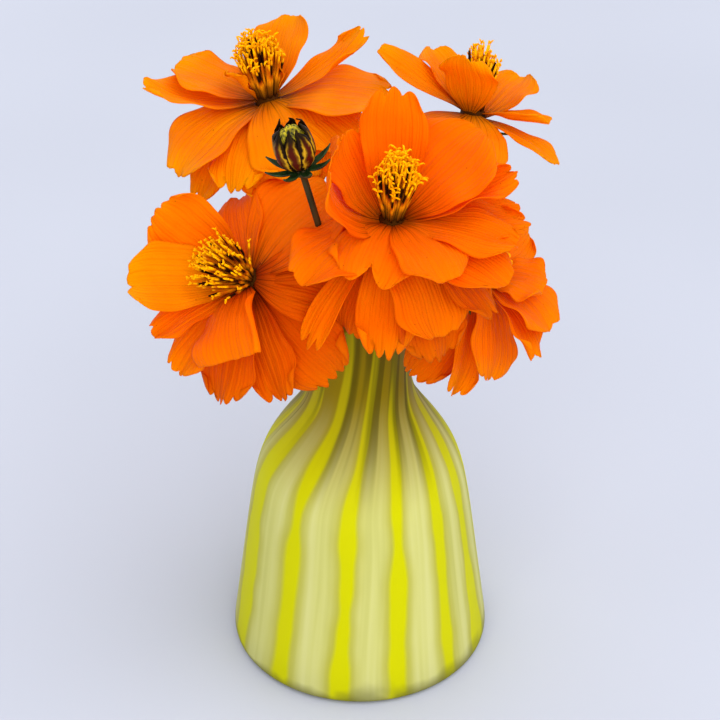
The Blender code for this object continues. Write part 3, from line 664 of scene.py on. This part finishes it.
def glass_material(glass, cane):
    """Blown satin glass with lemon canes: soft-edged stripes that twist into the neck,
    no sharp highlight, and an olive neck, partly the crowded canes and partly painted
    shade, with painted shade for the stems inside the neck and at the foot."""
    mat, add, solid = new_material("blown satin glass with lemon canes")
    split = add("SeparateXYZ", (solid,))
    height = split.outputs[2]
    angle = add("Math", (split.outputs[1], split.outputs[0]), operation="ARCTAN2")
    # the canes turn 30 degrees between the shoulder and the neck, and wander a little
    turn = add("MapRange", (height, 0.056, 0.108, 0.0, 0.52), **SMOOTH)
    wander = add("TexNoise", {"Vector": solid, "Scale": 20.0, "Detail": 0.0})
    wander = add("MapRange", (wander, 0.3, 0.7, -0.03, 0.03))
    flat = add("Math", (angle, turn), operation="SUBTRACT")
    flat = add("Math", (flat, wander), operation="ADD")
    share = add("Math", (flat, 1 / math.tau, 1.5), operation="MULTIPLY_ADD")
    share = add("Math", (share,), operation="FRACT")
    # two curves over the share of a turn: how many canes it has passed, and their width
    count = len(CANES)
    turns = [(degrees + 180) / 360 for degrees, _ in CANES]
    spread = add("FloatCurve", {1: share}, points=[(0.0, 0.0)] + [
        (turn_share, (i + 0.5) / count) for i, turn_share in enumerate(turns)] + [(1.0, 1.0)])
    widths = [half for _, half in CANES]
    half = add("FloatCurve", {1: share}, points=list(zip([0.0] + turns + [1.0],
               [widths[0]] + widths + [widths[-1]])))
    phase = add("Math", (spread, float(count)), operation="MULTIPLY")
    off = add("Math", (phase,), operation="FRACT")
    off = add("Math", (off, 0.5), operation="SUBTRACT")
    off = add("Math", (off,), operation="ABSOLUTE")
    # each cane, 4 to 7 mm wide at the foot, swells and thins along its length
    index = add("Math", (phase,), operation="FLOOR")
    along = add("CombineXYZ", (index, height))
    along = add("Mapping", {0: along, 3: (3.7, 46.0, 1.0)})
    swell = add("TexNoise", {"Vector": along, "Scale": 1.0, "Detail": 1.0})
    swell = add("MapRange", (swell, 0.3, 0.7, 0.62, 1.5))
    width = add("Math", (swell, half), operation="MULTIPLY")
    inner = add("Math", (off, width), operation="SUBTRACT")
    core, halo = [
        add("MapRange", (inner, *limits), **SMOOTH)
        for limits in ((-0.05, 0.05, 1.0, 0.0), (-0.02, 0.24, 0.7, 0.0))]
    # soft drawn streaks, about 4 mm wide, run the length of each panel
    around_up = add("CombineXYZ", (phase, height))
    drawn = add("Mapping", {0: around_up, 3: (4.5, 9.0, 1.0)})
    streaks = add("TexNoise", {"Vector": drawn, "Scale": 1.0, "Detail": 2.0})
    panel = add("ValToRGB", (streaks,), stops=(
        (0.3, scaled(glass, 0.88, 0.88, 0.72)), (0.5, glass),
        (0.7, scaled(glass, 1.06, 1.06, 1.25))))
    haloed = add("Mix", {0: halo, 6: panel, 7: "#C4BE14"})
    striped = add("Mix", {0: core, 6: haloed, 7: cane})
    # above the shoulder the canes and panels close up into an olive neck, partly the glass's own
    # olive and partly painted shade from the flowers above and the stems inside
    neck = add("MapRange", (height, 0.056, 0.090, 0.0, 1.0), **SMOOTH)
    olive = add("Mix", {0: core, 6: "#A08606", 7: "#C8B804"})
    olive_neck_and_shade = add("Mix", {0: neck, 6: striped, 7: olive})
    # painted shade: dark streaks in the neck stand for the stems seen through it, and fade out at
    # the shoulder
    shadow = add("Mapping", {0: around_up, 3: (1.9, 7.0, 1.0)})
    shadow = add("TexNoise", {"Vector": shadow, "Scale": 1.0, "Detail": 2.0})
    shadow = add("MapRange", (shadow, 0.48, 0.60, 0.0, 0.62), **SMOOTH)
    reach = add("MapRange", (height, 0.058, 0.082, 0.0, 1.0), **SMOOTH)
    shadow = add("Math", (shadow, reach), operation="MULTIPLY")
    shaded = add("Mix", {0: shadow, 6: olive_neck_and_shade, 7: "#464004"})
    # painted shade: the lowest 2 to 9 mm are darkened where the bottle meets the floor
    foot = add("TexNoise", {"Vector": solid, "Scale": 90.0, "Detail": 2.0})
    foot = add("MapRange", (foot, 0.3, 0.7, 0.002, 0.009))
    foot = add("MapRange", (height, 0.0, foot, 0.8, 0.0), **SMOOTH)
    foot_shaded = add("Mix", {0: foot, 6: shaded, 7: "#6E6A28"})
    # the satin skin is faintly uneven, every 2.4 mm
    satin = add("TexNoise", {"Vector": solid, "Scale": 420.0, "Detail": 2.0})
    finish_material(add, foot_shaded, 0.48, 0.15, (1.0, 1.0, 0.45), (satin, 0.08, 0.0003), glow=0.42)
    return mat


def plant_material(name, low, high, scale, roughness=0.6, glow=0.15):
    """Living stem or bract: slightly waxy skin whose green drifts to brown in flecks,
    1 to 2.4 mm across and four times as long."""
    mat, add, solid = new_material(name)
    stretched = add("Mapping", {0: solid, 3: (1.0, 1.0, 0.25)})
    flecks = add("TexNoise", {"Vector": stretched, "Scale": scale, "Detail": 3.0})
    colour = add("ValToRGB", (flecks,), stops=((0.35, low), (0.65, high)))
    finish_material(add, colour, roughness, 0.35, bump=(flecks, 0.25, 0.0002), glow=glow)
    return mat


def floret_material():
    """Disc florets: tubes that open amber, with dark maroon anther tubes or bright ones,
    and golden, mealy stigmas.  The UV map's v runs up a floret, and its u tells the
    collar and the dark tubes from the bright tubes, and all tubes from the stigmas."""
    mat, add, solid = new_material("cosmos disc floret, mealy")
    split = add("SeparateXYZ", (add("UVMap"),))
    u, v = split.outputs[0], split.outputs[1]
    # the near-black foot of both ramps, which the collar takes, is painted shade under the flower
    # and deep in the disc
    dark = add("ValToRGB", (v,), stops=(
        (0.0, "#2A0C02"), (0.12, "#5A3006"), (0.38, "#A06408"), (0.55, "#E08A08"),
        (0.64, "#B04A06"), (0.72, "#1E0A04"), (0.90, "#2A0C04"), (0.95, "#F0A000")))
    bright = add("ValToRGB", (v,), stops=(
        (0.0, "#2A0C02"), (0.12, "#4A2404"), (0.40, "#8A5006"), (0.58, "#E89008"),
        (0.72, "#C86804"), (0.84, "#B85A04"), (0.94, "#FFB400")))
    is_bright, is_stigma = [
        add("Math", (u, above), operation="GREATER_THAN") for above in (0.3, 0.5)]
    tube = add("Mix", {0: is_bright, 6: dark, 7: bright})
    # meal of about 0.5 mm
    meal = add("TexNoise", {"Vector": solid, "Scale": 2200.0, "Detail": 2.0})
    stigma = add("ValToRGB", (meal,), stops=((0.3, "#E88A00"), (0.6, "#FFB800")))
    colour = add("Mix", {0: is_stigma, 6: tube, 7: stigma})
    finish_material(add, colour, 0.6, 0.12, (1.0, 0.55, 0.1), (meal, 0.4, 0.0002))
    return mat


def bud_material():
    """Bud scale: olive-yellow, with maroon ribs that waver every 2 mm and a dark tip."""
    mat, add, solid = new_material("cosmos bud scale, ribbed")
    split = add("SeparateXYZ", (add("UVMap"),))
    wobble = add("TexNoise", {"Vector": solid, "Scale": 500.0, "Detail": 2.0})
    across = add("MapRange", (wobble, 0.3, 0.7, -0.08, 0.08))
    across = add("Math", (split.outputs[0], across), operation="ADD")
    rib = add("ValToRGB", (across,), stops=(
        (0.0, "#0C0402"), (0.16, "#1E0C04"), (0.25, "#C8961A"), (0.33, "#6E480C"),
        (0.42, "#4A1006"), (0.58, "#4A1006"), (0.67, "#6E480C"), (0.75, "#C8961A"),
        (0.84, "#1E0C04"), (1.0, "#0C0402")))
    tip = add("MapRange", (split.outputs[1], 0.6, 0.84, 0.0, 0.97))
    colour = add("Mix", {0: tip, 6: rib, 7: "#160C04"})
    finish_material(add, colour, 0.38, 0.08, (1.0, 0.8, 0.5), (wobble, 0.4, 0.0003))
    return mat


def floor_material(base):
    """Matt painted board, whose tone drifts a little every 17 cm."""
    mat, add, solid = new_material("painted board, matt")
    cloud = add("TexNoise", {"Vector": solid, "Scale": 6.0, "Detail": 1.0})
    colour = add("ValToRGB", (cloud,), stops=(
        (0.3, scaled(base, 0.97, 0.97, 0.97)), (0.7, scaled(base, 1.03, 1.03, 1.03))))
    finish_material(add, colour, 0.8, 0.2)
    return mat


# ========== operators ==========
class COSMOS_OT_bottle(bpy.types.Operator):
    """Blow the striped bottle"""
    bl_idname = "cosmos.bottle"
    bl_label = "Bottle"

    def execute(self, context):
        colours = context.scene.cosmos_colours
        profile = [(0.0, 0.0)]
        for table, steps in zip((BOTTLE_OUTSIDE, BOTTLE_INSIDE), BOTTLE_RINGS):
            heights, radii = [[(i / (len(table) - 1), point[k]) for i, point in enumerate(table)]
                              for k in (0, 1)]
            profile += [(mix(heights, i / steps), mix(radii, i / steps))
                        for i in range(steps + 1)]
        profile.append((BOTTLE_INSIDE[-1][0], 0.0))
        bm = bmesh.new()
        lathe(bm, [Vector((r, 0, z)) * MM for z, r in profile],
              context.scene.cosmos_sizes.glass_steps, 1e-7)
        mat = glass_material(tuple(colours.glass), tuple(colours.cane))
        finish_piece("glass_bottle", bm, mat, "striped_satin_glass", "bottle")
        return {"FINISHED"}


def stem_path(neck_angle, head, axis):
    """Foot to head: straight up to the neck, then a curve out to the flower."""
    at_neck = math.radians(neck_angle)
    at_foot = math.radians(neck_angle + FOOT_TWIST)
    foot = Vector((FOOT_R * math.cos(at_foot), FOOT_R * math.sin(at_foot), FOOT_Z))
    neck = Vector((NECK_R * math.cos(at_neck), NECK_R * math.sin(at_neck), NECK_Z))
    reach = (head - neck).length
    path = [foot.lerp(neck, i / STRAIGHT_STEPS) for i in range(STRAIGHT_STEPS)]
    after_neck = neck + (neck - foot).normalized() * max(reach * 0.4, STEM_LIFT)
    before_head = head - axis * reach * 0.35
    return path + interpolate_bezier(neck, after_neck, before_head, head, CURVE_STEPS)


def build_stem(name, neck_angle, centre, axis, mat, sides, cup_r, cup_depth, radius):
    """A stem with the cup it flares into."""
    axis, centre = Vector(axis).normalized(), Vector(centre)
    path = stem_path(neck_angle, centre - axis * cup_depth, axis)
    radii = [radius] * len(path)
    for share, flare in CUP_FLARE:
        path.append(centre - axis * cup_depth * (1 - share))
        radii.append(max(radius, cup_r * flare))
    bm = bmesh.new()
    sweep(bm, path, radii, sides)
    finish_piece(name + "_skin", bm, mat, "cosmos_stem", name)


class COSMOS_OT_stems(bpy.types.Operator):
    """Draw up the six stems with the cups their petals sit on"""
    bl_idname = "cosmos.stems"
    bl_label = "Stems"

    def execute(self, context):
        sides = context.scene.cosmos_sizes.stem_sides
        green = tuple(context.scene.cosmos_colours.stem)
        mat = plant_material("cosmos stem, ribbed and waxy", scaled(green, 0.7, 0.75, 0.6),
                             scaled(green, 1.5, 1.25, 1.1), 420.0)
        dark = plant_material("young cosmos stem, bronzed", "#232A0C", "#4A3A14", 420.0)
        for key, flower in FLOWERS.items():
            build_stem("stem_" + key, flower["neck"], flower["centre"], flower["axis"],
                       mat, sides, CUP_R, CUP_DEPTH, STEM_R)
        build_stem("stem_bud", BUD_NECK, BUD_BASE, BUD_AXIS, dark, sides,
                   BUD_CUP_R, BUD_CUP_DEPTH, BUD_STEM_R)
        return {"FINISHED"}


class COSMOS_OT_petals(bpy.types.Operator):
    """Shape every ray petal of the five flowers"""
    bl_idname = "cosmos.petals"
    bl_label = "Petals"

    def execute(self, context):
        sizes, colours = context.scene.cosmos_sizes, context.scene.cosmos_colours
        # the darkest of these tones is painted shade on the undermost petals
        tones = {tone: petal_material("fresh cosmos petal, " + tone,
                                      tuple(getattr(colours, "petal_" + tone)))
                 for tone in ("amber", "orange", "tangerine", "deep")}
        for key, flower in FLOWERS.items():
            for group in ("petals", "spare"):
                for petal in flower[group]:
                    name = "petal_" + key + "_" + petal[0]
                    bm = bmesh.new()
                    petal_blade(bm, flower, petal, sizes.petal_rows, sizes.petal_columns,
                                random.Random(name))
                    finish_piece("ray_" + key + "_" + petal[0], bm,
                                 tones[petal[-1].get("tone", flower["tone"])], "cosmos_petal",
                                 *[name] * (group == "petals"), wall=sizes.petal_thickness)
        return {"FINISHED"}


def build_disc(key, flower, count, mat):
    """A dome of florets: tube, anther tube and two curled stigmas on each."""
    up, right, depth = frame_of(flower["axis"])
    centre = Vector(flower["centre"])
    rng = random.Random("disc_" + key)
    size, spread = flower.get("disc", 1.0), flower.get("spread", 1.0)
    spiky = flower.get("spiky", 0.0)
    bm = bmesh.new()
    sweep(bm, [centre + up * height for height, _ in COLLAR], [r for _, r in COLLAR],
          COLLAR_SIDES, (COLLAR_U, 0.0, 0.05))
    for i in range(count):
        rho = math.sqrt((i + 0.5) / count)
        out = around(right, depth, i * GOLDEN_ANGLE + rng.uniform(-0.2, 0.2))
        droop = rng.uniform(0.0, 0.26) * ease(0.6, 0.95, rho)
        tall = size * flower["tall"] * (1.0 + rng.uniform(-0.12, 0.10) - droop)
        reach = size * spread * rho
        foot = centre + out * FLORET_FOOT[0] * rho + up * FLORET_FOOT[1]
        ring, rim, middle = FLORET_MOUTH
        mouth = centre + out * ring * reach + up * (rim + middle * (1 - rho)) * tall
        ring, rim, middle = FLORET_TOP
        top = (centre + out * (ring * reach + rng.uniform(-0.3, 0.5))
               + up * (rim + middle * (1 - rho ** 2)) * tall
               + (right * rng.uniform(-1, 1) + depth * rng.uniform(-1, 1)) * 0.9 * spiky)
        path = interpolate_bezier(foot, foot.lerp(mouth, 0.5) - out * 0.3 * rho, mouth, top,
                                  len(FLORET_RADII))
        closed = rng.random() < CLOSED_SHARE + 0.16 * spiky
        dark = rng.random() < DARK_SHARE
        sweep(bm, path, FLORET_RADII, FLORET_SIDES,
              (DARK_U if dark else BRIGHT_U, 0.0, 0.9 if closed else 1.0))
        if closed:
            continue
        heading = (path[-1] - path[-2]).normalized()
        across = heading.cross(right)
        if across.length < 0.3:
            across = heading.cross(depth)
        across = Matrix.Rotation(rng.uniform(0, math.pi), 3, heading) @ across.normalized()
        heading = (heading + across * rng.uniform(-0.5, 0.5)).normalized()
        for sign in (-1, 1):
            curl = math.radians(rng.uniform(110, 200) * (1 - 0.55 * spiky))
            arc = rng.uniform(1.3, 2.3) * max(size, 0.8)
            bends = [curl * k / (len(STIGMA_RADII) - 1) for k in range(len(STIGMA_RADII))]
            arm = [path[-1] + heading * (0.1 + arc * 0.75 * math.sin(bend * 0.8))
                   + across * sign * arc * 0.42 * (1 - math.cos(bend)) for bend in bends]
            thick = rng.uniform(0.62, 0.95)
            sweep(bm, arm, [r * thick for r in STIGMA_RADII], STIGMA_SIDES,
                  (STIGMA_U, 0.0, 1.0))
    finish_piece("florets_" + key, bm, mat, "cosmos_disc_florets", "disc_" + key)


class COSMOS_OT_discs(bpy.types.Operator):
    """Plant the disc of florets in each flower"""
    bl_idname = "cosmos.discs"
    bl_label = "Disc florets"

    def execute(self, context):
        mat = floret_material()
        for key, flower in FLOWERS.items():
            build_disc(key, flower, context.scene.cosmos_sizes.floret_count, mat)
        return {"FINISHED"}


def bract_star(bm, base, axes, ring, drop, turn, length, width, rise0, rise1, hollow):
    """A ring of narrow pointed bracts, each a bent grid.

    They leave the axis at a ring's radius, a drop below the base, the first of them a
    turn of the spacing round, and bend from one rise to the other.
    """
    up, right, depth = axes
    for n in range(BRACT_COUNT):
        out = around(right, depth, math.tau * (n + turn) / BRACT_COUNT)
        side = up.cross(out)
        point = base + out * ring - up * drop
        line = []
        for i in range(BRACT_ROWS + 1):
            pitch = math.radians(rise0 + (rise1 - rise0) * i / BRACT_ROWS)
            along = out * math.cos(pitch) + up * math.sin(pitch)
            line.append((point.copy(), along.cross(side)))
            point += along * length / BRACT_ROWS
        for vert in grid(bm, BRACT_COLUMNS, BRACT_ROWS):
            s, t = vert.co.x, (vert.co.y + 1) / 2
            point, normal = line[round(t * BRACT_ROWS)]
            half = width / 2 * mix(BRACT_OUTLINE, t)
            vert.co = (point + side * s * half + normal * hollow * s * s * half) * MM


class COSMOS_OT_calyxes(bpy.types.Operator):
    """Set the green bracts behind each flower"""
    bl_idname = "cosmos.calyxes"
    bl_label = "Bracts"

    def execute(self, context):
        mat = plant_material("cosmos bract, thin and green", "#3A4A14", "#6A7A24", 500.0,
                             glow=0.3)
        for key, flower in FLOWERS.items():
            bm = bmesh.new()
            bract_star(bm, Vector(flower["centre"]), frame_of(flower["axis"]), ring=2.6,
                       drop=4.6, turn=0.0, length=9.0, width=1.9, rise0=-6, rise1=14,
                       hollow=0.4)
            finish_piece("bracts_" + key, bm, mat, "cosmos_stem", wall=BRACT_WALL)
        return {"FINISHED"}


def bud_core(base, up, right, depth):
    """The folded petals inside the scales: a rounded heart with short tubes on top."""
    bm = bmesh.new()
    heights = [CORE_LOW + (CORE_TOP - CORE_LOW) * i / CORE_RINGS for i in range(CORE_RINGS + 1)]
    sweep(bm, [base + up * h for h in heights],
          [mix(BUD_PROFILE, h) * 0.8 * (1 - 0.5 * ease(7.5, CORE_TOP, h)) for h in heights],
          CORE_SIDES)
    rng = random.Random("bud_core")
    for i in range(CORE_TUBES):
        rho = math.sqrt((i + 0.5) / CORE_TUBES)
        out = around(right, depth, i * GOLDEN_ANGLE)
        foot = base + up * 8.0 + out * 3.3 * rho
        lean = out * (-1.6 * rho) + up * (4.6 - 1.3 * rho + rng.uniform(-0.3, 0.4))
        path = interpolate_bezier(foot, foot + up * 1.6 + out * 0.5, foot + lean * 0.8,
                                  foot + lean, len(CORE_TUBE_RADII))
        sweep(bm, path, CORE_TUBE_RADII, FLORET_SIDES)
    return bm


def bud_scales(base, up, right, depth):
    """Overlapping scales round the core, each a bent grid with a ragged tip."""
    bm = bmesh.new()
    for n in range(SCALE_COUNT):
        lift = 0.25 if n % 2 else 0.0
        for vert in grid(bm, SCALE_COLUMNS, SCALE_ROWS):
            s, t = vert.co.x, (vert.co.y + 1) / 2
            height = SCALE_LOW + SCALE_LENGTH * t
            ragged = noise.noise(Vector((n * 3.1, t * 5, 2))) * ease(0.7, 1.0, t)
            angle = math.tau * n / SCALE_COUNT + s * mix(SCALE_OUTLINE, t) + 0.5 * ragged
            crown = 0.5 * (1 - s * s) * math.sin(math.pi * t)
            radius = 0.9 * mix(BUD_PROFILE, height) + lift + crown
            radius *= 1 - (0.22 + 0.5 * ragged) * ease(0.82, 1.0, t)
            vert.co = (base + up * height + around(right, depth, angle) * radius) * MM
    return bm


class COSMOS_OT_bud(bpy.types.Operator):
    """Close the bud in its striped scales, over splayed bracts"""
    bl_idname = "cosmos.bud"
    bl_label = "Bud"

    def execute(self, context):
        base, axes = Vector(BUD_BASE), frame_of(BUD_AXIS)
        # the core's bright yellow flecks are partly the folded petals' own yellow and partly
        # painted glints
        folded = plant_material("cosmos bud core, folded petals", "#242A04", "#E0C81C", 1100.0)
        finish_piece("bud_core", bud_core(base, *axes), folded, "cosmos_bud")
        finish_piece("bud_scales", bud_scales(base, *axes), bud_material(), "cosmos_bud",
                     "bud_head", wall=SCALE_WALL, offset=-1.0)
        green = plant_material("bud bract, dark and waxy", "#10240C", "#2A4418", 700.0,
                               roughness=0.45)
        bm = bmesh.new()
        bract_star(bm, base, axes, ring=1.4, drop=0.4, turn=0.5, length=8.6, width=2.2,
                   rise0=-2, rise1=60, hollow=0.7)
        finish_piece("bud_bract_star", bm, green, "cosmos_stem", "bud_bracts",
                     wall=BUD_BRACT_WALL)
        return {"FINISHED"}


class COSMOS_OT_stage(bpy.types.Operator):
    """Lay the pale floor and set the soft light and the camera"""
    bl_idname = "cosmos.stage"
    bl_label = "Stage"

    def execute(self, context):
        scene = context.scene
        bm = bmesh.new()
        bmesh.ops.create_grid(bm, x_segments=4, y_segments=4, size=FLOOR_HALF)
        mesh = bpy.data.meshes.new("floor")
        bm.to_mesh(mesh)
        bm.free()
        mesh.materials.append(floor_material(tuple(scene.cosmos_colours.floor)))
        floor = bpy.data.objects.new("floor", mesh)
        scene.collection.objects.link(floor)

        scene.world = bpy.data.worlds.new("studio")
        scene.world.use_nodes = True
        air = scene.world.node_tree.nodes["Background"].inputs
        air["Color"].default_value = rgba(AIR_COLOUR)
        air["Strength"].default_value = AIR_STRENGTH
        for name, kind, place, size, energy in LIGHTS:
            light = bpy.data.lights.new(name, kind)
            if kind == "SUN":
                light.angle = math.radians(size)
            else:
                light.size = size
            light.energy = energy
            lamp = bpy.data.objects.new(name, light)
            lamp.location = place
            lamp.rotation_euler = (AIM - Vector(place)).to_track_quat("-Z", "Y").to_euler()
            scene.collection.objects.link(lamp)

        camera = bpy.data.cameras.new("camera")
        camera.lens, camera.sensor_width = CAMERA_LENS, CAMERA_SENSOR
        camera.clip_end = 20.0
        view = bpy.data.objects.new("camera", camera)
        view.location = CAMERA_PLACE
        view.rotation_euler = (math.radians(90 - CAMERA_DOWN), 0.0, 0.0)
        scene.collection.objects.link(view)
        scene.camera = view
        scene.view_settings.view_transform = "Standard"
        return {"FINISHED"}


class COSMOS_PT_panel(bpy.types.Panel):
    bl_label = "Cosmos in a Striped Bottle"
    bl_idname = "COSMOS_PT_panel"
    bl_space_type = "VIEW_3D"
    bl_region_type = "UI"
    bl_category = "Cosmos"

    def draw(self, context):
        for settings in (context.scene.cosmos_sizes, context.scene.cosmos_colours):
            box = self.layout.box()
            for name in settings.__annotations__:
                box.prop(settings, name)
        for operator in OPERATORS:
            self.layout.operator(operator.bl_idname)


# in the order in which they run
OPERATORS = (COSMOS_OT_stage, COSMOS_OT_bottle, COSMOS_OT_stems, COSMOS_OT_calyxes,
             COSMOS_OT_petals, COSMOS_OT_discs, COSMOS_OT_bud)
CLASSES = (CosmosBottleSizes, CosmosBottleColours) + OPERATORS + (COSMOS_PT_panel,)


def register():
    for cls in CLASSES:
        bpy.utils.register_class(cls)
    bpy.types.Scene.cosmos_sizes = bpy.props.PointerProperty(type=CosmosBottleSizes)
    bpy.types.Scene.cosmos_colours = bpy.props.PointerProperty(type=CosmosBottleColours)


def unregister():
    del bpy.types.Scene.cosmos_colours
    del bpy.types.Scene.cosmos_sizes
    for cls in reversed(CLASSES):
        bpy.utils.unregister_class(cls)


def main():
    register()
    for operator in OPERATORS:
        getattr(bpy.ops.cosmos, operator.bl_idname.split(".")[1])()
    for mesh in TEMPLATES.values():
        bpy.data.meshes.remove(mesh)


if __name__ == "__main__":
    main()
